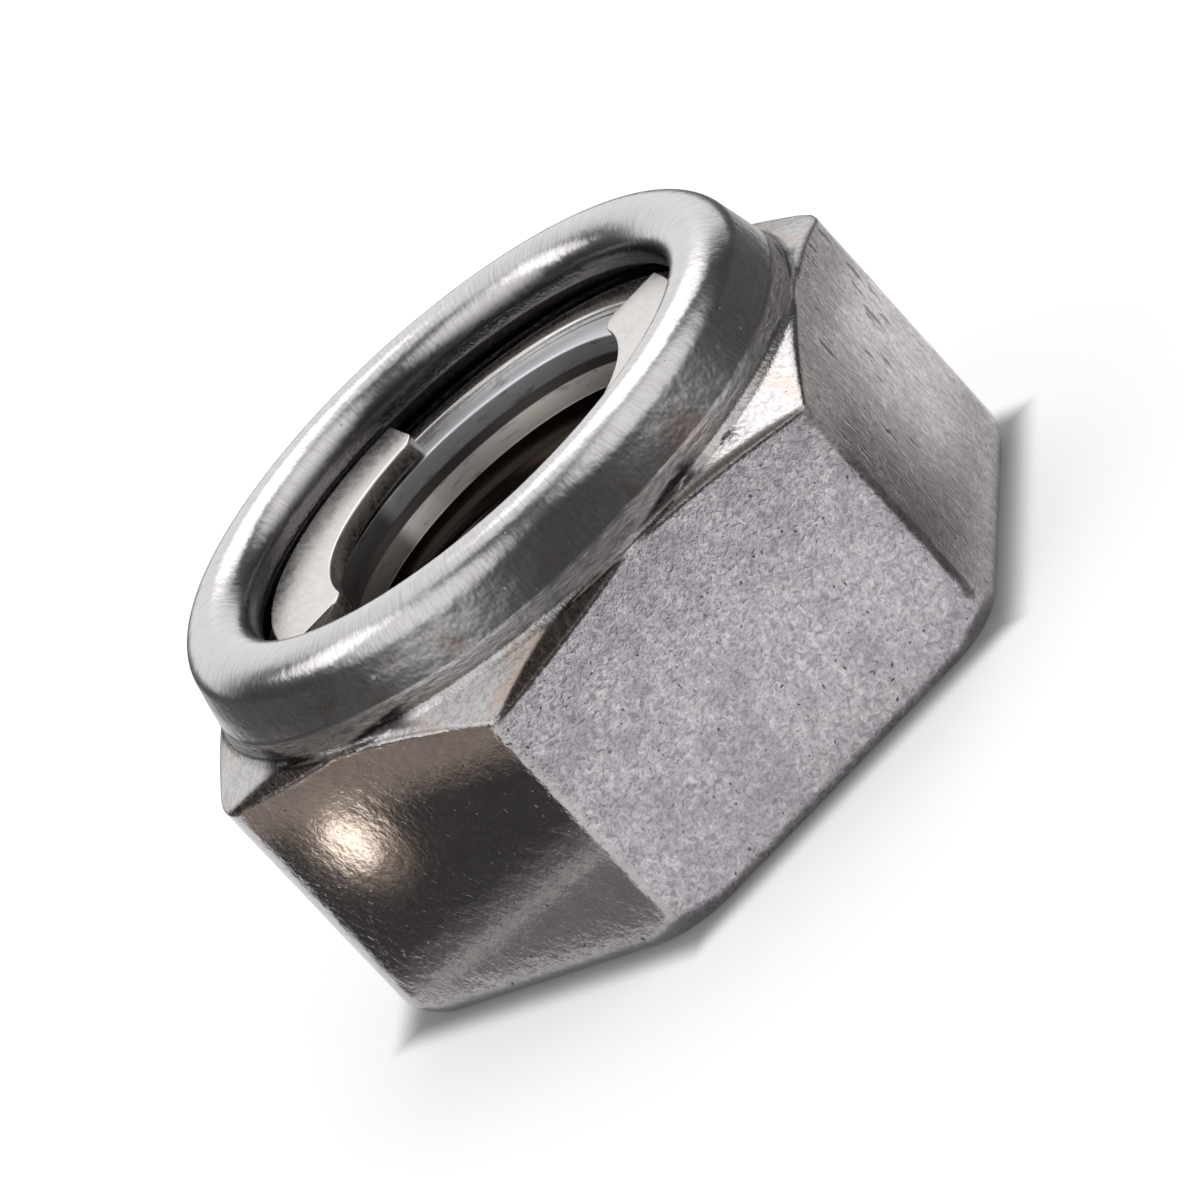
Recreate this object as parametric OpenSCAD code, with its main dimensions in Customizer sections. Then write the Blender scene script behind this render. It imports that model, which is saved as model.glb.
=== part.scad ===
// All-metal lock nut: a hexagon body and the locking ring that its rolled lip traps.
// The bearing face is at z = 0, the thread runs up the Z axis, a corner of the hexagon is on +X.

/* [Hexagon] */
// Height of the whole nut
nut_height = 9.2; // [8.8:0.05:10]
// Distance across the flats
across_flats = 16; // [15.6:0.1:17]
// Rounding of the six upright corners
corner_round = 1.3; // [0.5:0.1:2]
// Angle left between that rounding and each flat, in degrees
corner_kink = 3; // [1:1:6]
// Rounding between the bearing face and the flats
edge_round = 0.35; // [0.1:0.05:0.6]
// Diameter at which the bearing face meets the chamfer of the corners
bearing_face_d = 17.2; // [16.6:0.1:17.8]
// Slope of that chamfer, in degrees
bearing_slope = 45; // [30:1:60]
// Slope of the corner facets below the collar, in degrees
facet_slope = 25.5; // [15:0.5:40]

/* [Thread] */
// Nominal thread diameter
thread_d = 10; // [9:0.1:10.4]
// Thread pitch
thread_pitch = 1.5; // [1:0.05:1.75]
// Diameter of the countersink at the bearing face
entry_d = 10.4; // [10:0.1:11.5]
// Height of the cone between the thread and the mouth of the bore
lead_in_h = 0.65; // [0.3:0.05:1.5]
// Width of that cone, measured outwards
lead_in_w = 0.22; // [0.15:0.01:0.5]
// Height of the straight turned mouth above the cone
mouth_h = 0.45; // [0.2:0.05:0.8]

/* [Seat of the locking ring] */
// Depth of the inner shoulder below the top of the nut
shoulder_depth = 1.68; // [1.5:0.02:2]
// Width of the shoulder
shoulder_w = 0.78; // [0.4:0.02:0.9]
// Depth of the groove outside the shoulder
groove_depth = 0.5; // [0.3:0.05:0.8]

/* [Collar and rolled lip] */
// Height of the collar, from its foot to the top of the nut
collar_height = 2.1; // [1.9:0.05:2.6]
// Wall of the collar outside the groove
collar_wall = 1.08; // [1:0.01:1.4]
// How far the foot of the collar flares out
foot_flare = 0.33; // [0.05:0.01:0.4]
// Radius of the hollow round at that foot, between the corner facets and the wall
foot_round_r = 0.55; // [0.3:0.05:0.8]
// Angle left between that round and its neighbours, in degrees
foot_kink = 3; // [2:1:5]
// Radius of the outer round of the lip
lip_round_r = 0.85; // [0.7:0.05:1.1]
// Angle above level at which the wall of the collar runs into that round, in degrees
lip_flank = 10; // [4:1:14]
// Radius of the inner round of the lip
lip_inner_r = 0.78; // [0.4:0.02:0.9]
// How far the lip reaches in over the flange of the ring
lip_hook = 0.5; // [0.3:0.05:0.7]

/* [Locking ring] */
// Thickness of the ring's sheet
ring_sheet = 0.45; // [0.3:0.01:0.6]
// Width of the step that raises the tabs
step_w = 0.45; // [0.3:0.05:0.7]
// Height of the rounded rim between the tabs above the flange
rim_rise = 0.17; // [0.05:0.01:0.25]
// Height of the tabs' undersides above the shoulder
tab_lift = 0.2; // [0.05:0.01:0.3]
// Distance between the two tabs
tab_gap_d = 8.0; // [7.8:0.02:8.4]
// Angle that one tab spans, in degrees
tab_angle = 92; // [60:0.5:110]
// Direction of the first tab, in degrees from +X
tab_turn = 135.5; // [0:0.5:180]
// Rounding of the inner corners of the tabs
tab_corner_r = 0.3; // [0.1:0.05:0.8]

/* [Clearances] */
// Gap under and beside the ring where it sits in the body
seat_gap = 0.04; // [0.02:0.01:0.08]
// Gap between the flange and the outer wall of the groove
wall_gap = 0.15; // [0.05:0.01:0.25]
// Gap between the flange and the lip above it
trap_gap = 0.1; // [0.05:0.01:0.15]
// Visible gap between the raised tabs and the lip
throat_gap = 0.2; // [0.1:0.01:0.5]

/* [Hidden] */
round_fn = 180;
small_fn = 64;
past = 1;
tab_count = 2;

// Basic profile: the bore is the nominal diameter less 5/8 of a sharp thread's depth on each side.
sharp_thread_depth = thread_pitch * sqrt(3) / 2;
bore_r = thread_d / 2 - 5 / 8 * sharp_thread_depth;
entry_r = entry_d / 2;
entry_h = entry_r - bore_r;

// Radii of the bore's mouth, the seat and the collar, each from the one inside it.
mouth_r = bore_r + lead_in_w;
shoulder_r = mouth_r + shoulder_w;
step_r = shoulder_r + seat_gap;
tab_outer_r = step_r + step_w;
throat_r = tab_outer_r + throat_gap;
flange_r = throat_r + lip_hook;
groove_r = flange_r + wall_gap;
collar_r = groove_r + collar_wall;
foot_r = collar_r + foot_flare;

// Heights of the hexagon, the seat, the ring and the lip, all from the top of the nut.
hex_height = nut_height - collar_height;
shoulder_z = nut_height - shoulder_depth;
groove_z = shoulder_z - groove_depth;
thread_top_z = shoulder_z - mouth_h - lead_in_h;
flange_z = groove_z + seat_gap;
flange_top_z = flange_z + ring_sheet;
tab_z = shoulder_z + tab_lift;
tab_top_z = tab_z + ring_sheet;
hook_z = max(flange_top_z + trap_gap, tab_top_z);
lip_round_z = nut_height - lip_round_r;
lip_crown_r = collar_r - lip_round_r;
flank_r = lip_crown_r + lip_round_r * cos(lip_flank);
flank_z = lip_round_z + lip_round_r * sin(lip_flank);
wall_lean = atan2(foot_r - flank_r, flank_z - hex_height);

// Edges of the hexagon's turned faces, carried out past the corners.
corner_r = across_flats / sqrt(3);
blank_r = corner_r + past;
bearing_r = bearing_face_d / 2;
bearing_edge_z = (blank_r - bearing_r) * tan(bearing_slope);
facet_edge_z = hex_height - (blank_r - foot_r) * tan(facet_slope);

// Cross-section through two opposite flats, with the edges at the bearing face rounded.
module flats_section() {
    edge_x = across_flats / 2 - edge_round;
    translate([-across_flats / 2, edge_round]) square([across_flats, nut_height - edge_round]);
    translate([-edge_x, 0]) square([2 * edge_x, nut_height]);
    for (side = [-1, 1]) translate([side * edge_x, edge_round]) circle(r = edge_round, $fn = small_fn);
}

// Bar that is as wide as the hexagon across two opposite flats, whose normal points the given way.
module flats_bar(direction) {
    rotate([0, 0, direction]) rotate([90, 0, 0])
    translate([0, 0, -blank_r]) linear_extrude(2 * blank_r) flats_section();
}

// What comes off the upright corner on +X to round it. The round meets each flat at a small angle.
module corner_waste() {
    half_angle = 30 - corner_kink;
    center_x = (across_flats / 2 - corner_round * cos(corner_kink)) / cos(30);
    reach = corner_round + past;
    difference() {
        polygon([
            [center_x, 0],
            [center_x + reach * cos(half_angle), -reach * sin(half_angle)],
            [center_x + 2 * reach, 0],
            [center_x + reach * cos(half_angle), reach * sin(half_angle)]
        ]);
        translate([center_x, 0]) circle(r = corner_round, $fn = small_fn);
    }
}

// Plan of the hexagon with rounded corners.
module hex_plan() {
    difference() {
        circle(r = corner_r, $fn = 6);
        for (i = [0 : 5]) rotate([0, 0, 60 * i]) corner_waste();
    }
}

// Hexagon block with rounded lower edges and rounded corners.
module hex_block() {
    intersection() {
        linear_extrude(nut_height) hex_plan();
        flats_bar(30);
        flats_bar(90);
        flats_bar(150);
    }
}

// Half section of the hollow round at the collar's foot.
module foot_section() {
    foot = [foot_r, hex_height];
    reach = foot_round_r * cos(foot_kink);
    wall_normal = [cos(wall_lean), sin(wall_lean)];
    facet_normal = [sin(facet_slope), cos(facet_slope)];
    center = foot + reach / (1 + wall_normal * facet_normal) * (wall_normal + facet_normal);
    difference() {
        polygon([foot - [past, past], center - reach * facet_normal, center, center - reach * wall_normal]);
        translate(center) circle(r = foot_round_r, $fn = small_fn);
    }
}

// Half section of the turned outside: chamfer, corner facet, flared collar and rounded lip.
module outer_section() {
    polygon([
        [0, 0],
        [bearing_r, 0],
        [blank_r, bearing_edge_z],
        [blank_r, facet_edge_z],
        [foot_r, hex_height],
        [flank_r, flank_z],
        [0, flank_z]
    ]);
    foot_section();
    translate([lip_crown_r, lip_round_z]) circle(r = lip_round_r, $fn = small_fn);
    translate([0, lip_round_z]) square([lip_crown_r, lip_round_r]);
}

// Half section of the bore: countersink, thread core, lead-in cone and straight mouth.
module bore_section() {
    polygon([
        [0, -past],
        [entry_r + past, -past],
        [bore_r, entry_h],
        [bore_r, thread_top_z],
        [mouth_r, thread_top_z + lead_in_h],
        [mouth_r, shoulder_z + past],
        [0, shoulder_z + past]
    ]);
}

// Half section of the space for the ring: groove round the shoulder, closed above by the lip's hook.
module seat_section() {
    polygon([
        [0, shoulder_z],
        [shoulder_r, shoulder_z],
        [shoulder_r, groove_z],
        [groove_r, groove_z],
        [groove_r, flange_top_z + trap_gap],
        [throat_r, hook_z],
        [0, hook_z]
    ]);
}

// Half section of the opening inside the lip, widening upwards round the lip's inner round.
module throat_section() {
    round_r = throat_r + lip_inner_r;
    round_z = nut_height - lip_inner_r;
    translate([0, shoulder_z]) square([throat_r, nut_height - shoulder_z + past]);
    difference() {
        translate([0, round_z]) square([round_r, lip_inner_r + past]);
        translate([round_r, round_z]) circle(r = lip_inner_r, $fn = small_fn);
    }
}

// Body, forged as a hexagon, turned outside and inside, with the collar's lip rolled in.
module nut_body() {
    color([0.71, 0.70, 0.71])
    intersection() {
        hex_block();
        rotate_extrude($fn = round_fn) difference() {
            outer_section();
            bore_section();
            seat_section();
            throat_section();
        }
    }
}

// Half section of the ring all the way round: flange and the rounded rim at its inner edge.
module ring_section() {
    rim_r = step_w / 2;
    rim_z = flange_top_z + rim_rise - rim_r;
    translate([step_r, flange_z]) square([flange_r - step_r, ring_sheet]);
    translate([step_r, flange_z]) square([step_w, rim_z - flange_z]);
    translate([step_r + rim_r, rim_z]) circle(r = rim_r, $fn = small_fn);
}

// What comes off one inner corner of a tab, on the side given by side = 1 or -1.
module tab_waste(side) {
    center_d = tab_gap_d / 2 + tab_corner_r;
    edge_a = side * tab_angle / 2;
    center_a = edge_a - side * asin(tab_corner_r / center_d);
    center = center_d * [cos(center_a), sin(center_a)];
    edge_point = center_d * cos(edge_a - center_a) * [cos(edge_a), sin(edge_a)];
    inner_point = (center_d - 2 * tab_corner_r) * [cos(center_a), sin(center_a)];
    outside = tab_corner_r * [-sin(edge_a), cos(edge_a)] * side;
    difference() {
        polygon([center, edge_point, edge_point + outside, inner_point + outside, inner_point]);
        translate(center) circle(r = tab_corner_r, $fn = small_fn);
    }
}

// Plan of a sector from the axis out, centred on +X.
module sector(angle) {
    reach = 2 * flange_r;
    polygon([
        [0, 0],
        reach * [cos(angle / 2), -sin(angle / 2)],
        [reach, 0],
        reach * [cos(angle / 2), sin(angle / 2)]
    ]);
}

// Plan of one raised tab, centred on +X, from the tab gap out to the step.
module tab_plan() {
    difference() {
        intersection() {
            circle(r = tab_outer_r, $fn = round_fn);
            sector(tab_angle);
        }
        circle(d = tab_gap_d, $fn = round_fn);
        for (side = [-1, 1]) tab_waste(side);
    }
}

// One tab: the flat that reaches in over the shoulder, and the step that carries it on the flange.
module tab() {
    translate([0, 0, tab_z]) linear_extrude(ring_sheet) tab_plan();
    translate([0, 0, flange_z]) linear_extrude(tab_z - flange_z) difference() {
        tab_plan();
        circle(r = step_r, $fn = round_fn);
    }
}

// Locking ring, stamped from spring sheet: flange under the lip, and two tabs raised over the shoulder.
module locking_ring() {
    color([0.66, 0.65, 0.66]) {
        rotate_extrude($fn = round_fn) ring_section();
        for (i = [0 : tab_count - 1]) rotate([0, 0, tab_turn + i * 360 / tab_count]) tab();
    }
}

nut_body();
locking_ring();
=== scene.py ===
import math

import bpy
import numpy as np
from mathutils import Matrix, Vector


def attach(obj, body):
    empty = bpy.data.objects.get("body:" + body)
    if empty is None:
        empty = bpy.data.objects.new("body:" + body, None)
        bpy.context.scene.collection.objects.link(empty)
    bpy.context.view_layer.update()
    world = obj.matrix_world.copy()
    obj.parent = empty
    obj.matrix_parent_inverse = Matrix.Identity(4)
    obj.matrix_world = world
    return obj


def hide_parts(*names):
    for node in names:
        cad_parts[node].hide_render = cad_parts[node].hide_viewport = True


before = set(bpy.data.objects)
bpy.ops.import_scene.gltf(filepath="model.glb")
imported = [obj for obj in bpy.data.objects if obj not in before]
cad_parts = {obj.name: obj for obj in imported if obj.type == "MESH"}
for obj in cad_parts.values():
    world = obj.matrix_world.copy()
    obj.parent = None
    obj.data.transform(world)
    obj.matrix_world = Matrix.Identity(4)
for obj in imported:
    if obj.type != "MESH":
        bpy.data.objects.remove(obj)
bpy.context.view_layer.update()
MM = 0.001

# ---------------------------------------------------------------- nut body
# One steel piece, hot forged as a hexagon, then turned: bearing face, corner facets, collar and
# bore. The collar's lip was rolled in over the locking ring. Sizes in millimetres.

FLAT = 8.0
CORNER_ROUNDS = (1.3, 0.7, 0.9, 1.3, 0.50, 0.27)  # at 0, 60, ... 300 degrees
BEARING_R = 8.6
EDGE_ROUND = 0.38
HEX_TOP = 7.1
FOOT_R = 7.938
FACET_SLOPE = math.radians(25.5)
FOOT_FLARE = 1.6
LIP_OUT = (6.758, 8.35, 0.85)
LIP_FLANK = 10
FLANK_R = LIP_OUT[0] + LIP_OUT[2] * math.cos(math.radians(LIP_FLANK))
FLANK_Z = LIP_OUT[1] + LIP_OUT[2] * math.sin(math.radians(LIP_FLANK))
FOOT_SOFT, RIM_SOFT, BEVEL_SOFT, CREASE_SOFT = 0.24, 0.2, 0.06, 0.05
BEVEL_TILT = math.radians(42)
BEVEL_DROPS = ((0.10, 0.05), (0.05, 0.10), (0.12, 0.04), (0.17, 0.06), (0.21, 0.11), (0.05, 0.05))
LIP_IN = (6.658, 8.42, 0.78)
THROAT_R, HOOK_Z = 5.878, 8.17
GROOVE_R, HOOK_FOOT_Z, GROOVE_Z = 6.528, 7.61, 7.02
SHOULDER_R, SHOULDER_Z = 5.188, 7.52
MOUTH_R, MOUTH_Z = 4.408, 7.07
BORE_R, CONE_Z = 4.1881, 6.42
ENTRY_R = 5.2
PITCH = 1.5
THREAD_ROOT_R = 5.0
CREST_HALF, FLANK_TURN = 0.125, 0.3125  # in parts of a turn of the thread
FADE_Z = (5.1, 6.3)
CREASE_ROWS = (-0.8, 0.4)  # the close rows' heights from the crease
WALL_Z = 7.8
SWELL_DEPTH = 0.012
BURR_RISE, BURR_WIDTH = 0.035, 0.045
DENT_TURN, DENT_Z = math.radians(292.4), 6.96
DENT_RISE, DENT_DEPTH, DENT_R = 0.05, 0.10, 0.21
LEFT_FLAT, RIGHT_FLAT = 3, 5  # counted round from +X, as 0 to 5
TORN_Z = (7.22, 7.70)
FOLD_Z = 7.16
LIP_LOW_Z = 7.25
INNER_SHADE_Z = 8.86
SEAT_EDGE = 0.05
MERGE = 2e-5  # points of a mesh that lie closer than this are one
SHARP = math.radians(38)


def columns(per_corner, tight=0.35):
    """Angles once round, closed, with more of them near the six corners.

    Between two mid-flats the angle from the corner is 30 deg * (tight*u + (1-tight)*u^3),
    u running evenly from -1 to 1.
    """
    u = np.linspace(-1, 1, per_corner + 1)[:-1]
    part = math.radians(30) * (tight * u + (1 - tight) * u ** 3)
    around = (np.arange(6)[:, None] * math.radians(60) + part[None, :]).ravel()
    return np.append(around, around[0] + 2 * math.pi)


def hexagon(angle, flat, rounds):
    """Distance from the axis to a hexagon whose six corners are rounded, a corner on +X.

    Within a corner's arc it is the far crossing with a circle of that corner's radius, and
    elsewhere flat / cos(angle from the flat's middle).
    """
    a = np.abs((angle + math.pi / 6) % (math.pi / 3) - math.pi / 6)
    corner = np.array(rounds)[np.round(angle / (math.pi / 3)).astype(int) % 6]
    centre = (flat - corner) / math.cos(math.pi / 6)
    arc_end = np.arctan2(corner / 2, centre + corner * math.cos(math.pi / 6))
    arc = centre * np.cos(a) + np.sqrt(np.maximum(corner ** 2 - (centre * np.sin(a)) ** 2, 0))
    return np.where(a < arc_end, arc, flat / np.cos(math.pi / 6 - a))


def soft_min(a, b, width):
    """The smaller of two values, rounded off where they lie within the given width.

    It is the minimum less width/4 * h^2, where h falls from 1 at equal values to 0 at width apart.
    """
    h = np.maximum(width - np.abs(a - b), 0) / width
    return np.minimum(a, b) - width / 4 * h * h


def ripple(angle, height, seed, count, low, high):
    """Shallow unevenness of a forged or rolled surface, between about -1 and 1.

    It is a mean of waves cos(k * angle + m * height + phase) with whole k, so it closes round.
    """
    rng = np.random.default_rng(seed)
    k = rng.integers(low, high, count)
    m = rng.uniform(-2.0, 2.0, count)
    phase = rng.uniform(0, 2 * math.pi, count)
    waves = np.cos(angle[..., None] * k + height[..., None] * m + phase)
    return waves.sum(-1) / math.sqrt(count)


def rounded_line(points, radius, steps):
    """A profile of straight lines whose inner corners are rounded by the given radius.

    At each corner it runs along the quadratic curve from the tangent point before the corner to
    the one after it.
    """
    p = np.array(points, float)
    before, at, after = p[:-2], p[1:-1], p[2:]
    a, b = before - at, after - at
    la, lb = np.linalg.norm(a, axis=1), np.linalg.norm(b, axis=1)
    cut = np.minimum(radius, 0.45 * np.minimum(la, lb))[:, None]
    start, end = at + a / la[:, None] * cut, at + b / lb[:, None] * cut
    t = np.linspace(0, 1, steps)[None, :, None]
    curve = (1 - t) ** 2 * start[:, None] + 2 * t * (1 - t) * at[:, None] + t ** 2 * end[:, None]
    return np.vstack([p[:1], curve.reshape(-1, 2), p[-1:]])


def arc_line(centre, start, end, steps):
    """Points on a circle given as (r, z, radius), from one angle to another in degrees."""
    a = np.radians(np.linspace(start, end, steps))
    return np.stack([centre[0] + centre[2] * np.cos(a), centre[1] + centre[2] * np.sin(a)], 1)


def closed_mesh(name, r, z, angle, values):
    """A closed ring-shaped mesh from a grid of rows by angles.

    A point is (r cos angle, r sin angle, z). Points that coincide are merged, faces that lose
    an edge are dropped, and the faces are turned outwards by the sign of the volume.
    """
    xyz = np.stack([r * np.cos(angle), r * np.sin(angle), z], -1)
    rows, cols = r.shape
    index = np.arange(rows * cols).reshape(rows, cols)
    quad = np.stack([index[:-1, :-1], index[1:, :-1], index[1:, 1:], index[:-1, 1:]], -1)
    flat = xyz.reshape(-1, 3)
    key = np.round(flat / MERGE).astype(np.int64)
    _, first, same = np.unique(key, axis=0, return_index=True, return_inverse=True)
    quad = same.reshape(-1)[quad.reshape(-1, 4)]
    tri = np.concatenate([quad[:, [0, 1, 2]], quad[:, [0, 2, 3]]])
    good = (tri[:, 0] != tri[:, 1]) & (tri[:, 1] != tri[:, 2]) & (tri[:, 0] != tri[:, 2])
    tri = tri[good]
    point = flat[first]
    a, b, c = point[tri[:, 0]], point[tri[:, 1]], point[tri[:, 2]]
    if (a * np.cross(b, c)).sum() < 0:
        tri = tri[:, ::-1]
    mesh = bpy.data.meshes.new(name)
    mesh.vertices.add(len(point))
    mesh.vertices.foreach_set("co", (point * MM).astype(np.float32).ravel())
    mesh.loops.add(3 * len(tri))
    mesh.loops.foreach_set("vertex_index", tri.astype(np.int32).ravel())
    mesh.polygons.add(len(tri))
    mesh.polygons.foreach_set("loop_start", np.arange(0, 3 * len(tri), 3, dtype=np.int32))
    mesh.update(calc_edges=True)
    mesh.validate()
    mesh.polygons.foreach_set("use_smooth", np.ones(len(mesh.polygons), bool))
    mesh.set_sharp_from_angle(angle=SHARP)
    for label, value in values.items():
        layer = mesh.attributes.new(label, "FLOAT", "POINT")
        layer.data.foreach_set("value", value.reshape(-1)[first].astype(np.float32))
    piece = bpy.data.objects.new(name, mesh)
    bpy.context.scene.collection.objects.link(piece)
    return piece


around = columns(66)
hexa = hexagon(around, FLAT, CORNER_ROUNDS)
crease = HEX_TOP - (hexa - FOOT_R) * math.tan(FACET_SLOPE)
one = np.ones_like(around)

# The bevel between each flat and its two facets, which gets painted shade: how far below the
# crease it starts.
flat_at = np.floor(around / (math.pi / 3)).astype(int) % 6
across = (around / (math.pi / 3) % 1.0) * 2 - 1
drops = np.array(BEVEL_DROPS)[flat_at]
lobe = np.sin(math.pi * np.clip(np.abs(across) * 1.06 - 0.06, 0, 1))
bevel_drop = np.where(across < 0, drops[:, 0] * lobe ** 0.7, drops[:, 1] * lobe ** 0.3)


def outside_rows(z):
    """Radius of the forged and turned outside below the lip, at heights z per angle.

    It is the soft minimum of the hexagon, drawn in at its lower edge by a quarter round, of the
    45 degree chamfer at the bearing face, of the facets' cone and of the bevel below it, and then
    the soft maximum of that and of the collar's wall, which goes no further out than the flats.
    """
    low = np.clip(EDGE_ROUND - z, 0, EDGE_ROUND)
    inset = EDGE_ROUND - np.sqrt(EDGE_ROUND ** 2 - low ** 2)
    flats = hexa * (1 - inset / FLAT)
    bottom = BEARING_R + z
    cone = FOOT_R + (HEX_TOP - z) / math.tan(FACET_SLOPE)
    bevel = hexa - (z - crease + bevel_drop) * math.tan(BEVEL_TILT)
    low_part = soft_min(flats, bottom, RIM_SOFT)
    body = soft_min(low_part, soft_min(cone, bevel, BEVEL_SOFT), CREASE_SOFT)
    lean = (FOOT_R - FLANK_R) / (FLANK_Z - HEX_TOP)
    wall = FOOT_R - np.where(z > HEX_TOP, lean * (z - HEX_TOP), FOOT_FLARE * (HEX_TOP - z))
    return np.minimum(-soft_min(-body, -wall, FOOT_SOFT), flats)


low_edge = 0.6 * (1 - np.cos(np.linspace(0, math.pi / 2, 13)))[:, None] * one
middle = low_edge[-1] + np.linspace(0, 1, 9)[1:-1, None] * (
    crease + CREASE_ROWS[0] - low_edge[-1])
top_edge = crease + np.linspace(*CREASE_ROWS, 36)[:, None]
foot = top_edge[-1] + np.linspace(0, 1, 22)[1:, None] * (WALL_Z - top_edge[-1])
wall = np.linspace(WALL_Z, FLANK_Z, 7)[1:, None] * one
outer_z = np.vstack([low_edge, middle, top_edge, foot, wall])
outer_r = outside_rows(outer_z)
swell = ripple(around * np.ones_like(outer_z), outer_z, 3, 9, 2, 11)
zone = np.clip((outer_z - crease - 0.1) / 0.3, 0, 1) * np.clip((8.0 - outer_z) / 0.5, 0, 1)
outer_r = outer_r - SWELL_DEPTH * zone * (1 + swell)
# The burr along the top edge of the flat at the left, ragged along its length.
burr = (flat_at == LEFT_FLAT) * np.clip((0.8 - np.abs(across)) / 0.15, 0, 1) * (
    0.65 + 0.35 * ripple(around * np.ones_like(outer_z), 0 * outer_z, 8, 7, 60, 170))
outer_r = outer_r + BURR_RISE * burr * np.exp(
    -((outer_z - crease + bevel_drop + 0.04) / BURR_WIDTH) ** 2)
# A small curled dent on the facet right of the front flat: a bead with a groove round its top.
dent_away = np.hypot((around - DENT_TURN) * FLAT, (outer_z - DENT_Z) * 2.2)
outer_r = outer_r + DENT_RISE * np.exp(-(dent_away / 0.10) ** 2) - DENT_DEPTH * np.exp(
    -((dent_away - DENT_R) / 0.06) ** 2) * (outer_z > DENT_Z - 0.06)

lip = np.vstack([arc_line(LIP_OUT, LIP_FLANK, 90, 16)[1:], arc_line(LIP_IN, 90, 180, 16)])
seat = rounded_line([
    (THROAT_R, LIP_IN[1] - 0.02), (THROAT_R, HOOK_Z), (GROOVE_R, HOOK_FOOT_Z),
    (GROOVE_R, GROOVE_Z), (SHOULDER_R, GROOVE_Z), (SHOULDER_R, SHOULDER_Z),
    (MOUTH_R, SHOULDER_Z), (MOUTH_R, MOUTH_Z), (BORE_R, CONE_Z + 0.02)], SEAT_EDGE, 4)
inner = np.vstack([lip, seat])
inner_r = inner[:, :1] * one
inner_z = inner[:, 1:] * one

# The thread: rows that follow the helix, cut off at the ends of the bore. The phases of a turn run
# over the crest, out along one flank, over the root and back in along the other flank.
phases = np.array([-0.125, 0.0, 0.125, 0.23, 0.335, 0.4375, 0.5625, 0.665, 0.77])
turns = np.arange(-2, 6)
helix = (turns[:, None] + phases[None, :]).ravel()[::-1]
thread_z = np.clip(PITCH * (helix[:, None] + around[None, :] / (2 * math.pi)), 0.0, CONE_Z)
inside = (thread_z.max(1) > 0) & (thread_z.min(1) < CONE_Z)
thread_z = np.vstack([CONE_Z * one, thread_z[inside], 0 * one])
turn_part = (thread_z / PITCH - around / (2 * math.pi) + 0.5) % 1.0 - 0.5
ramp = np.clip((np.abs(turn_part) - CREST_HALF) / FLANK_TURN, 0, 1)
fade = np.clip((FADE_Z[1] - thread_z) / (FADE_Z[1] - FADE_Z[0]), 0, 1)
fade = fade * fade * (3 - 2 * fade)
thread_r = BORE_R + (THREAD_ROOT_R - BORE_R) * ramp * fade
thread_r = np.maximum(thread_r, ENTRY_R - thread_z)

face_r = ENTRY_R + np.linspace(0, 1, 5)[:-1, None] * (outer_r[0] - ENTRY_R)
body_r = np.vstack([face_r, outer_r, inner_r, thread_r])
body_z = np.vstack([0 * face_r, outer_z, inner_z, thread_z])


def on_grid(outer=0.0, inner=0.0, bore=0.0):
    """A value for every point of the body, from one value or array for each of its zones."""
    return np.vstack([
        0 * face_r, outer + 0 * outer_r, inner + 0 * inner_r, bore + 0 * thread_r])


# The torn zone at the collar's foot reaches down the middle of each flat.
torn_low = TORN_Z[0] - 0.25 * np.clip(1 - np.abs(across + 0.1) / 0.35, 0, 1)
torn_high = TORN_Z[1] - 0.10 * np.abs(across)
torn = np.clip((outer_z - torn_low) / 0.12, 0, 1) * np.clip((torn_high - outer_z) / 0.10, 0, 1)
torn = torn * np.clip(1.15 - 0.6 * np.abs(across - 0.15), 0, 1)
# The bevel's own band, from where it starts to just below the facets, painted dark as shade.
on_bevel = np.clip((outer_z - crease + bevel_drop) / 0.05, 0, 1) * np.clip(
    (crease + 0.9 * bevel_drop - outer_z) / 0.08, 0, 1) * (bevel_drop > 0.01)
# Painted shade in the fold between the collar's foot and a facet, where the facet starts in
# mid-flat. The flat at the left has one at both ends of its torn zone.
lean_at = np.where((flat_at == LEFT_FLAT) & (across < 0), -across - 0.12, across)
fold_high = FOLD_Z + 0.32 * np.clip(lean_at / 0.45, 0, 1)
fold = np.clip((lean_at - 0.02) / 0.08, 0, 1) * np.clip((0.60 - lean_at) / 0.12, 0, 1) * np.clip(
    (outer_z - crease - 0.05) / 0.05, 0, 1) * np.clip((fold_high - outer_z) / 0.08, 0, 1)
# Painted shade on the inner wall: from low on the lip's inner round, through the undercut,
# to the groove.
in_seat = inner_r < SHOULDER_R + 0.01
inner_shade = np.clip((INNER_SHADE_Z - inner_z) / 0.22, 0, 1) * (inner_r < LIP_IN[0]) * ~in_seat
body = closed_mesh("nut_shell", body_r, body_z, around * np.ones_like(body_r), {
    "flat_face": on_grid(outer=np.clip((crease - bevel_drop + 0.02 - outer_z) / 0.08, 0, 1)),
    "lip_face": on_grid(outer=np.clip((outer_z - LIP_LOW_Z) / 0.2, 0, 1),
                        inner=(np.arange(len(inner)) < len(lip))[:, None]),
    "bore_face": on_grid(bore=1.0),
    "torn_face": on_grid(outer=torn),
    "bevel_face": on_grid(outer=on_bevel),
    "fold_face": on_grid(outer=fold),
    "drawn_face": on_grid(outer=(flat_at == RIGHT_FLAT)),
    "smooth_face": on_grid(outer=(flat_at == LEFT_FLAT)),
    "seat_face": on_grid(inner=in_seat),
    "inner_shade_face": on_grid(inner=inner_shade)})


def add(tree, kind, inputs=(), **settings):
    """A new node; inputs pairs a socket's name or number with a value or with another socket."""
    node = tree.nodes.new(kind)
    for name, value in settings.items():
        setattr(node, name, value)
    for socket, value in dict(inputs).items():
        if isinstance(value, bpy.types.NodeSocket):
            tree.links.new(value, node.inputs[socket])
        else:
            node.inputs[socket].default_value = value
    return node


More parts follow.
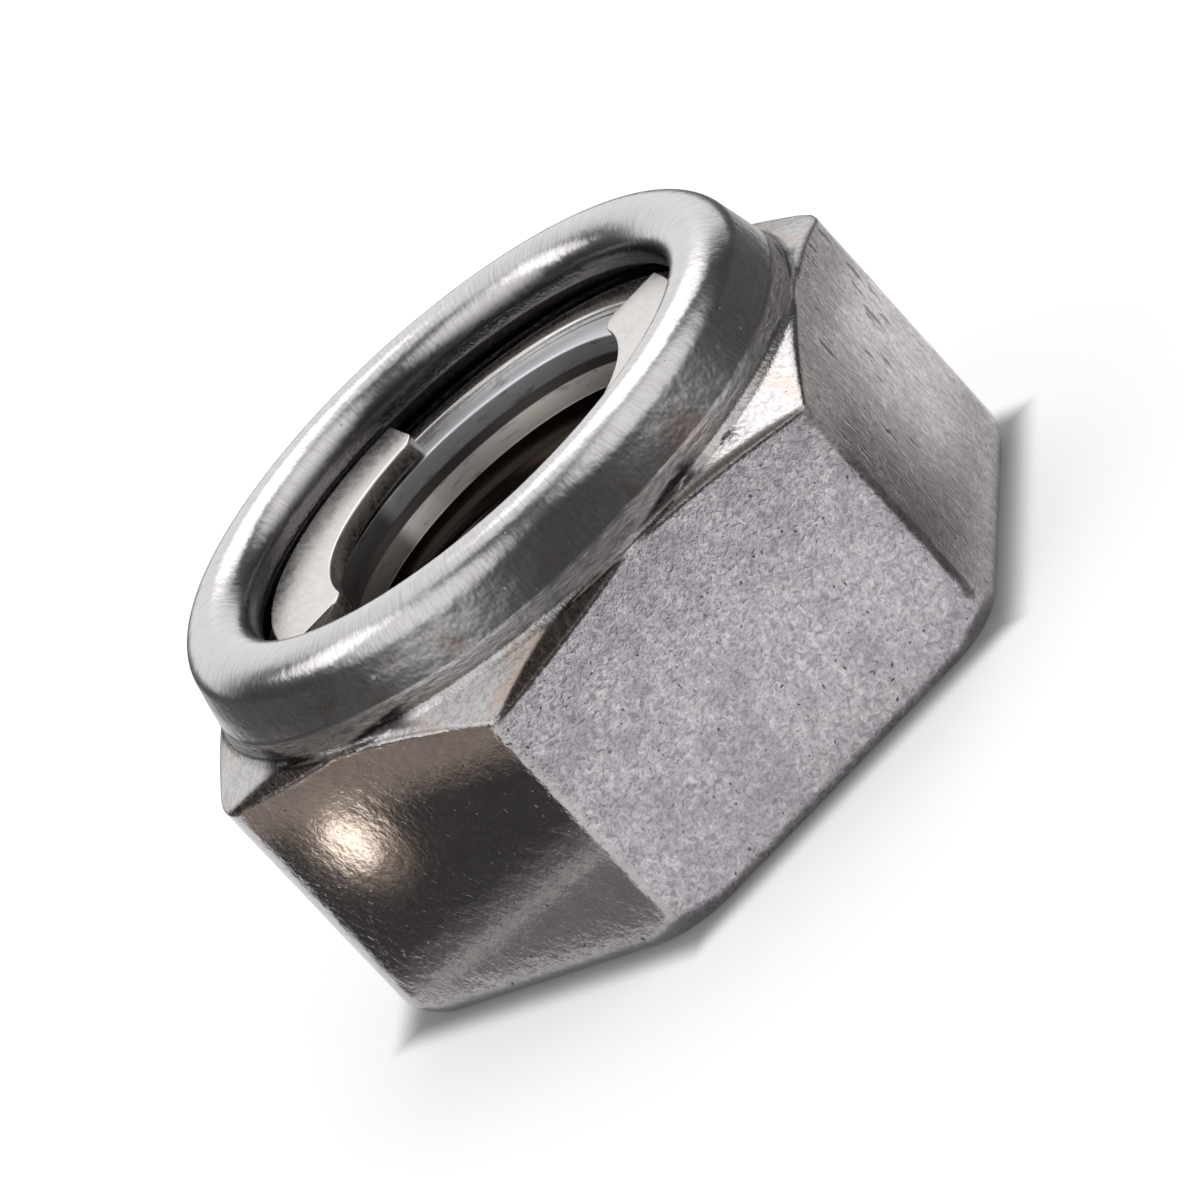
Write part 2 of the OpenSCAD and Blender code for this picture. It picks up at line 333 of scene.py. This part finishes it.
def maths(tree, operation, *values, clamp=False):
    """The result of one sum on numbers or sockets."""
    return add(tree, "ShaderNodeMath", enumerate(values), operation=operation,
               use_clamp=clamp).outputs[0]


def times(tree, *values):
    """The product of numbers or sockets."""
    product = values[0]
    for value in values[1:]:
        product = maths(tree, "MULTIPLY", product, value)
    return product


def plus(tree, *values):
    """The sum of numbers or sockets."""
    total = values[0]
    for value in values[1:]:
        total = maths(tree, "ADD", total, value)
    return total


def between(tree, value, low, high, to_low=0.0, to_high=1.0):
    """The value's place between low and high, eased at both ends, as a number to_low..to_high."""
    return add(tree, "ShaderNodeMapRange", {
        0: value, 1: low, 2: high, 3: to_low, 4: to_high},
        interpolation_type="SMOOTHSTEP").outputs[0]


def grain(tree, place, per_mm, detail=3.0, rough=0.6, curl=0.0):
    """Noise with the given number of blots to a millimetre, about 0.5 on average."""
    return add(tree, "ShaderNodeTexNoise", {
        "Vector": place, "Scale": per_mm / MM, "Detail": detail, "Roughness": rough,
        "Distortion": curl}).outputs[0]


def stretched(tree, place, scale):
    """The place with each direction multiplied, which draws a noise out along the small ones."""
    return add(tree, "ShaderNodeVectorMath", {0: place, 1: scale}, operation="MULTIPLY").outputs[0]


def mixed(tree, share, first, second):
    """Two colours mixed by a share from 0, the first, to 1, the second."""
    node = add(tree, "ShaderNodeMix", {0: share, 6: first, 7: second}, data_type="RGBA")
    return node.outputs[2]


FLAT_COLOUR = (0.51, 0.475, 0.50, 1)
FLAT_LIGHT = (0.82, 0.79, 0.81, 1)
FLAT_DARK = (0.19, 0.17, 0.185, 1)
PIT_DARK = (0.07, 0.06, 0.06, 1)
CLOUD_DARK = (0.22, 0.203, 0.228, 1)
SMOOTH_COLOUR = (0.46, 0.45, 0.425, 1)
TURNED_COLOUR = (0.66, 0.64, 0.645, 1)
TURNED_DARK = (0.54, 0.515, 0.515, 1)
FACET_DARK = (0.34, 0.32, 0.31, 1)
TORN_COLOUR = (0.52, 0.485, 0.475, 1)
BEVEL_SHADE_COLOUR = (0.125, 0.10, 0.092, 1)
FOLD_SHADE_COLOUR = (0.045, 0.04, 0.04, 1)
SEAT_HIGH = (0.86, 0.86, 0.90, 1)
SEAT_LOW = (0.88, 0.81, 0.76, 1)
SEAT_PAINTED_HIGHLIGHT = (0.95, 0.92, 0.86, 1)
SEAT_DARK = (0.09, 0.08, 0.075, 1)
TINT_COLOUR = (0.50, 0.37, 0.30, 1)
BORE_TINT_AND_SHADE = (0.17, 0.14, 0.12, 1)
INNER_SHADE_COLOUR = (0.15, 0.14, 0.145, 1)
RAGGED = 0.14 * MM  # how far the pits' and scratches' outlines are shaken
LIP_R = 7.6 * MM
SEAT_LINE_Z = (6.84 * MM, 6.88 * MM)
SEAT_TOP_Z = (7.05 * MM, 7.12 * MM)

steel = bpy.data.materials.new("stainless_body")
steel.use_nodes = True
tree = steel.node_tree
shader = tree.nodes["Principled BSDF"]
place = add(tree, "ShaderNodeTexCoord").outputs["Object"]
side_at, _, height_at = add(tree, "ShaderNodeSeparateXYZ", {0: place}).outputs
on = {zone: add(tree, "ShaderNodeAttribute", attribute_name=zone + "_face").outputs["Fac"]
      for zone in ("flat", "lip", "bore", "torn", "bevel", "fold", "drawn", "smooth", "seat",
                   "inner_shade")}

# Tumbled grain on the flats: curled fine grain, wider clouds, dark pits and light nicks. The flat
# at the right was drawn past a die and has streaks and scratches that run up and down.
curls = grain(tree, place, 6.0, 3.0, 0.70, 0.9)
fine_grain = grain(tree, place, 13.0, 1.0, 0.6)
clouds = grain(tree, place, 1.1, 2.0, 0.55)
drawn_lines = grain(tree, stretched(tree, place, (1.0, 1.0, 0.60)), 6.0, 3.0, 0.65)
texture = mixed(tree, times(tree, on["drawn"], 0.55), curls, drawn_lines)


def spots(tree, place, scale, per_mm, size, share):
    """Scattered spots of many sizes: a Voronoi pattern of which the given share has a spot."""
    cells = add(tree, "ShaderNodeTexVoronoi", {
        "Vector": stretched(tree, place, scale), "Scale": per_mm / MM})
    draw = add(tree, "ShaderNodeSeparateColor", {0: cells.outputs["Color"]}).outputs
    away = maths(tree, "MULTIPLY", cells.outputs["Distance"],
                 maths(tree, "MULTIPLY_ADD", draw[1], 1.3, 0.75))
    return maths(tree, "MULTIPLY", between(tree, away, size, size * 0.45),
                 between(tree, draw[0], 1 - share, 1.02 - share))


shake = add(tree, "ShaderNodeTexNoise", {"Vector": place, "Scale": 8 / MM, "Detail": 0.0})
ragged = add(tree, "ShaderNodeVectorMath", {
    0: place, 1: stretched(tree, shake.outputs[1], (RAGGED, RAGGED, RAGGED))},
    operation="ADD").outputs[0]
pit = spots(tree, ragged, (1.0, 1.0, 0.8), 5.0, 0.22, 0.30)
nick = spots(tree, place, (0.8, 0.8, 1.0), 2.3, 0.13, 0.10)
speck = spots(tree, place, (1.0, 1.0, 1.0), 4.5, 0.16, 0.10)
scratch = times(tree, spots(tree, ragged, (1.0, 1.0, 0.34), 3.4, 0.40, 0.50), on["drawn"],
                between(tree, height_at, 2.6 * MM, 3.4 * MM))
hollow = maths(tree, "MAXIMUM", pit, scratch)

# How strong the grain is: less on the flat at the left, more on the one at the right.
depth = plus(tree, 1.0, times(tree, on["smooth"], -0.4), times(tree, on["drawn"], 0.35))
light = times(tree, between(tree, texture, 0.50, 0.70), depth, 0.60)
dark = times(tree, between(tree, texture, 0.52, 0.32), depth, 0.60)
fine_dark = times(tree, between(tree, fine_grain, 0.50, 0.30), depth, 0.40)
cloudy = times(tree, between(tree, clouds, 0.42, 0.66), 0.30)
tone = mixed(tree, light, FLAT_COLOUR, FLAT_LIGHT)
tone = mixed(tree, dark, tone, FLAT_DARK)
tone = mixed(tree, fine_dark, tone, FLAT_DARK)
tone = mixed(tree, cloudy, tone, CLOUD_DARK)
tone = mixed(tree, times(tree, on["smooth"], 0.5), tone, SMOOTH_COLOUR)
tone = mixed(tree, times(tree, hollow, 0.85), tone, PIT_DARK)

# Turned and rolled faces: fine streaks that run down the collar, and faint brown tints.
direction = add(tree, "ShaderNodeVectorMath", {0: stretched(tree, place, (1, 1, 0))},
                operation="NORMALIZE").outputs[0]
around_lip = add(tree, "ShaderNodeVectorMath", {0: direction, "Scale": LIP_R},
                 operation="SCALE").outputs[0]
streak_place = add(tree, "ShaderNodeVectorMath", {
    0: around_lip, 1: stretched(tree, place, (0.06, 0.06, 0.16))}, operation="ADD").outputs[0]
streaks = grain(tree, streak_place, 15.0, 2.0, 0.7)
off_lip = maths(tree, "SUBTRACT", 1.0, on["lip"])
streaked = times(tree, between(tree, streaks, 0.35, 0.75), on["lip"])
lip_tone = mixed(tree, streaked, TURNED_COLOUR, TURNED_DARK)
facet_grain = times(tree, between(tree, texture, 0.58, 0.34, 0.30, 0.80), off_lip)
lip_tone = mixed(tree, facet_grain, lip_tone, FACET_DARK)
tint = times(tree, between(tree, grain(tree, place, 0.7, 2.0, 0.5), 0.50, 0.66),
             between(tree, height_at, 8.5 * MM, 8.1 * MM), 0.6)
lip_tone = mixed(tree, tint, lip_tone, TINT_COLOUR)
tone = mixed(tree, on["flat"], lip_tone, tone)

# The collar's foot: wrinkled metal, painted shade on the bevel under it and in the folds beside
# it.
wrinkles = grain(tree, stretched(tree, place, (0.45, 0.45, 2.0)), 6.0, 3.0, 0.6)
torn_dark = times(tree, between(tree, wrinkles, 0.55, 0.35), 0.6)
tone = mixed(tree, on["torn"], tone, mixed(tree, torn_dark, TORN_COLOUR, FLAT_DARK))
tone = mixed(tree, on["bevel"], tone, BEVEL_SHADE_COLOUR)
fold_shade = times(tree, on["fold"], between(tree, wrinkles, 0.72, 0.50, 0.45, 1.0))
tone = mixed(tree, fold_shade, tone, FOLD_SHADE_COLOUR)

# The seat's faces: a pale shoulder, a dark line, and a band with a painted highlight in one place
# and painted shade on the side towards -X.
band = mixed(tree, between(tree, side_at, -0.45 * MM, -0.55 * MM), SEAT_LOW, SEAT_PAINTED_HIGHLIGHT)
band = mixed(tree, between(tree, height_at, *SEAT_LINE_Z), band, SEAT_DARK)
band = mixed(tree, between(tree, height_at, *SEAT_TOP_Z), band, SEAT_HIGH)
# Painted shade on the seat's side towards -X.
seat_shade = times(tree, between(tree, side_at, -1.3 * MM, -1.8 * MM), 0.8)
band = mixed(tree, seat_shade, band, SEAT_DARK)
turned_lines = grain(tree, stretched(tree, place, (0.4, 0.4, 3.0)), 3.0)
band = mixed(tree, times(tree, between(tree, turned_lines, 0.55, 0.70), 0.5), band, SEAT_DARK)
tone = mixed(tree, on["seat"], tone, band)
# Painted shade on the lip's inner wall and the undercut.
tone = mixed(tree, times(tree, on["inner_shade"], 0.85), tone, INNER_SHADE_COLOUR)
# The thread's colour is the steel's slight brown tint, darkened as painted shade in the bore.
tone = mixed(tree, on["bore"], tone, BORE_TINT_AND_SHADE)
tree.links.new(tone, shader.inputs["Base Color"])
shader.inputs["Metallic"].default_value = 1.0

rough = plus(
    tree, 0.20, times(tree, on["flat"], 0.02), times(tree, on["smooth"], on["flat"], -0.08),
    times(tree, clouds, 0.06), times(tree, on["torn"], 0.18), times(tree, on["seat"], 0.20),
    times(tree, maths(tree, "MAXIMUM", speck, nick), 0.35))
tree.links.new(rough, shader.inputs["Roughness"])

# Relief: grain and pits on the forged faces, low dents on the lip and on the flat at the left,
# fine streaks and specks on the lip, wrinkles at the collar's foot.
inside = maths(tree, "MAXIMUM", on["bore"], on["seat"])
plain = maths(tree, "SUBTRACT", off_lip, inside, clamp=True)
relief = times(tree, plain, maths(tree, "MULTIPLY_ADD", on["smooth"], 0.35, depth))
dented = maths(tree, "MAXIMUM", times(tree, on["lip"], 1.3),
               times(tree, on["smooth"], on["flat"], 2.6))
height = plus(
    tree, times(tree, plus(tree, texture, times(tree, fine_grain, 0.5)), relief),
    times(tree, hollow, relief, on["flat"], -1.0),
    times(tree, streaks, on["lip"], 0.10),
    times(tree, wrinkles, on["torn"], 2.2),
    times(tree, grain(tree, place, 2.6, 2.0, 0.6), dented),
    times(tree, speck, on["lip"], 0.25))
bump = add(tree, "ShaderNodeBump", {"Height": height, "Strength": 0.6, "Distance": 0.02 * MM})
tree.links.new(bump.outputs[0], shader.inputs["Normal"])
body.data.materials.append(steel)
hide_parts("nut_body")
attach(body, "root")

# ---------------------------------------------------------------- locking ring
# Stamped from spring steel sheet 0.45 mm thick. Its flange is held loose under the rolled lip,
# and two tabs reach in over the shoulder, where they grip the bolt's thread.

SHEET = 0.45
STEP_R, TAB_OUT_R, FLANGE_R = 5.228, 5.678, 6.378
FLANGE_Z, TAB_Z = 7.06, 7.72
RIM_LOW, RIM_TOP = 7.4, 7.68
TAB_IN_R, TAB_ROOT_R = 4.0, STEP_R - 0.3
TAB_ANGLE, TAB_TURN = 92.0, 135.5
TAB_CORNER = 0.42
SHEET_EDGE, RIM_EDGE = 0.06, 0.10
START = (FLANGE_R, FLANGE_Z + 0.2)  # where a cross-section starts and ends
FINE_DEG = 6.5  # how far the close angles reach to each side of a tab's flank

# Angles once round: close together at the tabs' four flanks, wider elsewhere.
flank_at = np.array([TAB_TURN - TAB_ANGLE / 2, TAB_TURN + TAB_ANGLE / 2])
flank_at = np.sort(np.concatenate([flank_at, flank_at + 180]) % 360)
fine = (flank_at[:, None] + np.linspace(-FINE_DEG, FINE_DEG, 66)[None, :]).ravel()
coarse = np.linspace(0, 360, 241)[:-1]
gap = np.abs((coarse[:, None] - flank_at[None, :] + 180) % 360 - 180).min(1)
ring_angle = np.sort(np.concatenate([fine % 360, coarse[gap > FINE_DEG + 0.3]]))
ring_angle = np.radians(np.append(ring_angle, ring_angle[0] + 360))

# How far inside a tab an angle lies, in degrees from its flank, and the share of tab there.
half = (np.degrees(ring_angle) - TAB_TURN + 90) % 180 - 90
depth = TAB_ANGLE / 2 - np.abs(half)
share = np.clip(depth / 0.6 + 0.5, 0, 1)[None, :]
share = share * share * (3 - 2 * share)
# The tab's inner edge, with its two corners rounded in plan.
arc_deg = math.degrees(TAB_CORNER / TAB_IN_R)
x = np.clip(1 - depth / arc_deg, 0, 1)
tab_in = TAB_IN_R + TAB_CORNER * (1 - np.sqrt(np.maximum(1 - x * x, 0)))

notch_profile = rounded_line([
    START, (FLANGE_R, FLANGE_Z + SHEET), (TAB_OUT_R + 0.03, FLANGE_Z + SHEET),
    (TAB_OUT_R - 0.02, RIM_TOP - 0.01), (STEP_R + 0.01, RIM_TOP - 0.01), (STEP_R, RIM_LOW),
    (STEP_R, FLANGE_Z), (FLANGE_R, FLANGE_Z), START], RIM_EDGE, 6)
tab_top = TAB_Z + SHEET


def tab_profile(inner_edge):
    """Closed cross-section of the ring at a tab whose inner edge has the given radius."""
    return rounded_line([
        START, (FLANGE_R, FLANGE_Z + SHEET), (TAB_OUT_R, FLANGE_Z + SHEET),
        (TAB_OUT_R, tab_top), (inner_edge, tab_top), (inner_edge, TAB_Z),
        (STEP_R, TAB_Z), (STEP_R, FLANGE_Z), (FLANGE_R, FLANGE_Z), START], SHEET_EDGE, 6)


inner_tab = tab_profile(TAB_IN_R)
outer_tab = tab_profile(TAB_ROOT_R)
pick = np.linspace(0, 1, len(inner_tab))
length = np.linspace(0, 1, len(notch_profile))
notch = np.stack([np.interp(pick, length, notch_profile[:, i]) for i in (0, 1)], 1)
slide = ((TAB_ROOT_R - tab_in) / (TAB_ROOT_R - TAB_IN_R))[None, :]
tab_r = outer_tab[:, :1] + (inner_tab[:, :1] - outer_tab[:, :1]) * slide
ring_r = notch[:, :1] * (1 - share) + tab_r * share
ring_z = notch[:, 1:] * (1 - share) + inner_tab[:, 1:] * share
ring = closed_mesh("spring_ring", ring_r, ring_z, ring_angle * np.ones_like(ring_r), {})

SPRING_COLOUR = (0.77, 0.75, 0.72, 1)
SPRING_DARK = (0.71, 0.69, 0.66, 1)
PATCH_COLOUR = (0.50, 0.46, 0.43, 1)

# Bright rolled sheet, rubbed along one way, with faint brown patches.
spring = bpy.data.materials.new("spring_steel")
spring.use_nodes = True
tree = spring.node_tree
shader = tree.nodes["Principled BSDF"]
place = add(tree, "ShaderNodeTexCoord").outputs["Object"]
rubbed = grain(tree, stretched(tree, place, (1.0, 0.35, 1.0)), 7.0, 3.0, 0.6)
patches = grain(tree, place, 0.9, 2.0, 0.5)
tone = mixed(tree, between(tree, rubbed, 0.35, 0.7), SPRING_COLOUR, SPRING_DARK)
patchy = times(tree, between(tree, patches, 0.45, 0.65), 0.12)
tone = mixed(tree, patchy, tone, PATCH_COLOUR)
tree.links.new(tone, shader.inputs["Base Color"])
shader.inputs["Metallic"].default_value = 1.0
tree.links.new(between(tree, rubbed, 0.3, 0.8, 0.24, 0.36), shader.inputs["Roughness"])
ring.data.materials.append(spring)
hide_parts("locking_ring")
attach(ring, "root")

# ---------------------------------------------------------------- camera
# Where the photograph was taken from, 206 mm from the nut and turned on its axis with it.
ACROSS = 16 * MM
eye = Vector((-1.85376, -11.91129, 4.4769)) * ACROSS
right = Vector((0.69195, -0.33108, -0.64155))
down = Vector((-0.70561, -0.12221, -0.69798))
ahead = Vector((0.15268, 0.93566, -0.31818))
FOCAL_PX, VIEW_PX, SENSOR_MM = 4766.99, 600, 36
AIM_PX = (20, 72)  # the view's middle, right of and below the photograph's
aim = (ahead + right * (AIM_PX[0] / FOCAL_PX) + down * (AIM_PX[1] / FOCAL_PX)).normalized()
side = (right - aim * right.dot(aim)).normalized()
upward = side.cross(aim)
camera_data = bpy.data.cameras.new("camera")
camera_data.lens = SENSOR_MM * FOCAL_PX / VIEW_PX
camera_data.clip_start, camera_data.clip_end = 0.005, 20
camera = bpy.data.objects.new("camera", camera_data)
camera.matrix_world = Matrix((
    (side.x, upward.x, -aim.x, eye.x),
    (side.y, upward.y, -aim.y, eye.y),
    (side.z, upward.z, -aim.z, eye.z),
    (0, 0, 0, 1)))
bpy.context.scene.collection.objects.link(camera)
bpy.context.scene.camera = camera

# ---------------------------------------------------------------- studio
# A plain white floor with a painted shadow where the nut stands, a white surround that is dark
# low down at the front and the sides, two soft lamps behind the nut, and two glowing cards beside
# its flats that only metal sees, painted with reflections.


def towards(azimuth, elevation, distance=1.0):
    """A point at a distance from the origin, azimuth from +X and elevation from the floor."""
    a, e = math.radians(azimuth), math.radians(elevation)
    return (distance * math.cos(a) * math.cos(e), distance * math.sin(a) * math.cos(e),
            distance * math.sin(e))


def reach_along(tree, place, direction):
    """How far a place lies along a direction."""
    return add(tree, "ShaderNodeVectorMath", {0: place, 1: direction},
               operation="DOT_PRODUCT").outputs["Value"]


FLOOR_COLOUR = (0.72, 0.72, 0.735, 1)
FLOOR_FAR = (0.10, 0.10, 0.10, 1)
FLOOR_LIFT = 0.47
CONTACT_SHADOW_COLOUR = (0.10, 0.10, 0.115, 1)
SHEET_EDGE_AT = (24 * MM, 44 * MM)
CONTACT_SHADOW_AT = (8.9 * MM, 7.9 * MM)
FLOOR_HALF = 3
floor_mesh = bpy.data.meshes.new("floor")
floor_mesh.from_pydata([(x * FLOOR_HALF, y * FLOOR_HALF, 0) for x, y in (
    (-1, -1), (1, -1), (1, 1), (-1, 1))], [], [(0, 1, 2, 3)])
floor = bpy.data.objects.new("floor", floor_mesh)
bpy.context.scene.collection.objects.link(floor)
white = bpy.data.materials.new("floor_white")
white.use_nodes = True
tree = white.node_tree
tree.nodes.clear()
path = add(tree, "ShaderNodeLightPath")
seen = maths(tree, "ADD", path.outputs["Is Camera Ray"], path.outputs["Is Glossy Ray"], clamp=True)
seen = maths(tree, "ADD", seen, path.outputs["Is Transmission Ray"], clamp=True)
place = add(tree, "ShaderNodeTexCoord").outputs["Object"]
away = add(tree, "ShaderNodeVectorMath", {0: place}, operation="LENGTH").outputs["Value"]
far = between(tree, away, *SHEET_EDGE_AT)
# Painted shadow on the sheet close to the nut, where it stands: within 0.9 mm of the flats.
spread = 0.0
for azimuth in (30, 90, 150):
    across_flats = reach_along(tree, place, towards(azimuth, 0))
    spread = maths(tree, "MAXIMUM", spread, maths(tree, "ABSOLUTE", across_flats))
contact_shadow = between(tree, spread, *CONTACT_SHADOW_AT, 0.0, 0.75)
sheet = mixed(tree, contact_shadow, mixed(tree, far, FLOOR_COLOUR, FLOOR_FAR), CONTACT_SHADOW_COLOUR)
paint = add(tree, "ShaderNodeBsdfDiffuse", {"Color": sheet})
near_lift = times(tree, seen, maths(tree, "SUBTRACT", 1.0, far), FLOOR_LIFT,
                  maths(tree, "SUBTRACT", 1.0, contact_shadow))
lifted = plus(tree, near_lift, times(tree, path.outputs["Is Camera Ray"], far))
lift = add(tree, "ShaderNodeEmission", {"Color": (1, 1, 1, 1), "Strength": lifted})
both = add(tree, "ShaderNodeAddShader", {0: paint.outputs[0], 1: lift.outputs[0]})
add(tree, "ShaderNodeOutputMaterial", {0: both.outputs[0]})
floor.data.materials.append(white)

ROOM = 0.06
BACKDROP = (81, 10, 24, 50, 1.00)  # azimuth, elevation, inner and outer half angle, strength
WINDOWS = (
    (78, 62, 20, 42, 0.98), BACKDROP, (-148, 36, 14, 40, 1.05), (-34, 40, 16, 42, 1.05),
    (172, 50, 8, 26, 0.90))
world = bpy.data.worlds.new("surround")
bpy.context.scene.world = world
world.use_nodes = True
world.cycles.sampling_method = "NONE"  # its light is broad, and needs no rays aimed at it
tree = world.node_tree
heading = add(tree, "ShaderNodeTexCoord").outputs["Generated"]


def window(azimuth, elevation, inner, outer, strength):
    """A round light in the surround, full within the inner half angle and none past the outer."""
    return between(tree, reach_along(tree, heading, towards(azimuth, elevation)),
                   math.cos(math.radians(outer)), math.cos(math.radians(inner)), 0.0, strength)


glow = ROOM
for opening in WINDOWS:
    glow = maths(tree, "MAXIMUM", glow, window(*opening))
# The white backdrop behind the nut shows to the camera, in metal and through glass, and the
# camera sees white everywhere else too.
path = add(tree, "ShaderNodeLightPath")
shown = maths(tree, "ADD", path.outputs["Is Glossy Ray"], path.outputs["Is Transmission Ray"],
              clamp=True)
glow = maths(tree, "MAXIMUM", glow, times(tree, shown, window(*BACKDROP)))
level = mixed(tree, path.outputs["Is Camera Ray"], glow, (1, 1, 1, 1))
tree.links.new(level, tree.nodes["Background"].inputs["Color"])


def softbox(name, azimuth, elevation, distance, size, level):
    """A square lamp turned to the nut, whose face has the given brightness."""
    data = bpy.data.lights.new(name, "AREA")
    data.shape = "SQUARE"
    data.size = size
    data.energy = level * math.pi * size ** 2
    lamp = bpy.data.objects.new(name, data)
    lamp.location = towards(azimuth, elevation, distance)
    lamp.rotation_mode = "QUATERNION"
    lamp.rotation_quaternion = (-Vector(lamp.location)).to_track_quat("-Z", "Y")
    bpy.context.scene.collection.objects.link(lamp)


softbox("right_back", 52, 50, 0.4, 0.26, 1.25)
softbox("left_back", 156, 44, 0.4, 0.20, 1.1)


def card(name, azimuth, away, reach, top, paint):
    """A card parallel to a flat and seen in metal only; paint gives its colour socket.

    Paint gets the tree, the distance along the card, counter-clockwise from the flat's middle,
    and the height, both in metres.
    """
    n = np.array([math.cos(math.radians(azimuth)), math.sin(math.radians(azimuth)), 0.0])
    t = np.array([-n[1], n[0], 0.0])
    corners = [tuple(((FLAT + away) * n + u * t) * MM + np.array([0, 0, h * MM]))
               for u, h in ((reach[0], 0), (reach[1], 0), (reach[1], top), (reach[0], top))]
    mesh = bpy.data.meshes.new(name)
    mesh.from_pydata(corners, [], [(0, 1, 2, 3)])
    piece = bpy.data.objects.new(name, mesh)
    bpy.context.scene.collection.objects.link(piece)
    paper = bpy.data.materials.new(name)
    paper.use_nodes = True
    tree = paper.node_tree
    tree.nodes.clear()
    place = add(tree, "ShaderNodeTexCoord").outputs["Object"]
    along = reach_along(tree, place, tuple(t))
    height = add(tree, "ShaderNodeSeparateXYZ", {0: place}).outputs[2]
    # The card glows with its painted reflection.
    shine = add(tree, "ShaderNodeEmission", {"Color": paint(tree, along, height), "Strength": 1.0})
    add(tree, "ShaderNodeOutputMaterial", {0: shine.outputs[0]})
    piece.data.materials.append(paper)
    piece.visible_camera = piece.visible_diffuse = piece.visible_shadow = False


GLINT_AT = (-3.1, 4.4)  # along the card and up it, in millimetres


def left_paint(tree, along, height):
    """Painted reflection: dark, grey below a slanting pale line, brown above 4.7 mm, and the
    glint of a small warm lamp.
    """
    line = maths(tree, "SUBTRACT", height, times(tree, along, 0.25))
    tone = mixed(tree, between(tree, line, 1.77 * MM, 2.5 * MM),
                 (0.20, 0.19, 0.19, 1), (0.07, 0.065, 0.065, 1))
    tone = mixed(tree, between(tree, line, 1.67 * MM, 1.37 * MM), tone, (0.25, 0.24, 0.24, 1))
    pale = times(tree, between(tree, line, 1.17 * MM, 1.37 * MM),
                 between(tree, line, 1.72 * MM, 1.52 * MM), 0.8)
    tone = mixed(tree, pale, tone, (0.62, 0.59, 0.58, 1))
    tone = mixed(tree, between(tree, height, 4.7 * MM, 5.5 * MM), tone, (0.36, 0.30, 0.26, 1))
    du = maths(tree, "SUBTRACT", along, GLINT_AT[0] * MM)
    dh = maths(tree, "SUBTRACT", height, GLINT_AT[1] * MM)
    away = maths(tree, "SQRT", plus(tree, times(tree, du, du), times(tree, dh, dh)))
    tone = mixed(tree, between(tree, away, 1.9 * MM, 0.4 * MM, 0.0, 0.7), tone,
                 (0.8, 0.66, 0.54, 1))
    return mixed(tree, between(tree, away, 0.90 * MM, 0.40 * MM), tone, (2.9, 2.5, 2.1, 1))


def right_paint(tree, along, height):
    """Painted reflection: dark at the front end and white at the back end, greyer low down and
    towards the top.
    """
    tone = mixed(tree, between(tree, along, -1.4 * MM, 4.2 * MM),
                 (0.15, 0.145, 0.145, 1), (1.0, 0.98, 0.97, 1))
    tone = mixed(tree, between(tree, height, 1.3 * MM, 0.5 * MM, 0.0, 0.75), tone,
                 (0.30, 0.29, 0.29, 1))
    return mixed(tree, between(tree, height, 4.2 * MM, 5.2 * MM), tone, (0.40, 0.38, 0.36, 1))


card("left_card", -150, 1.0, (-6.6, 3.6), 7.1, left_paint)
card("right_card", -30, 0.9, (-5.6, 7.2), 6.6, right_paint)

bpy.context.scene.view_settings.view_transform = "Standard"
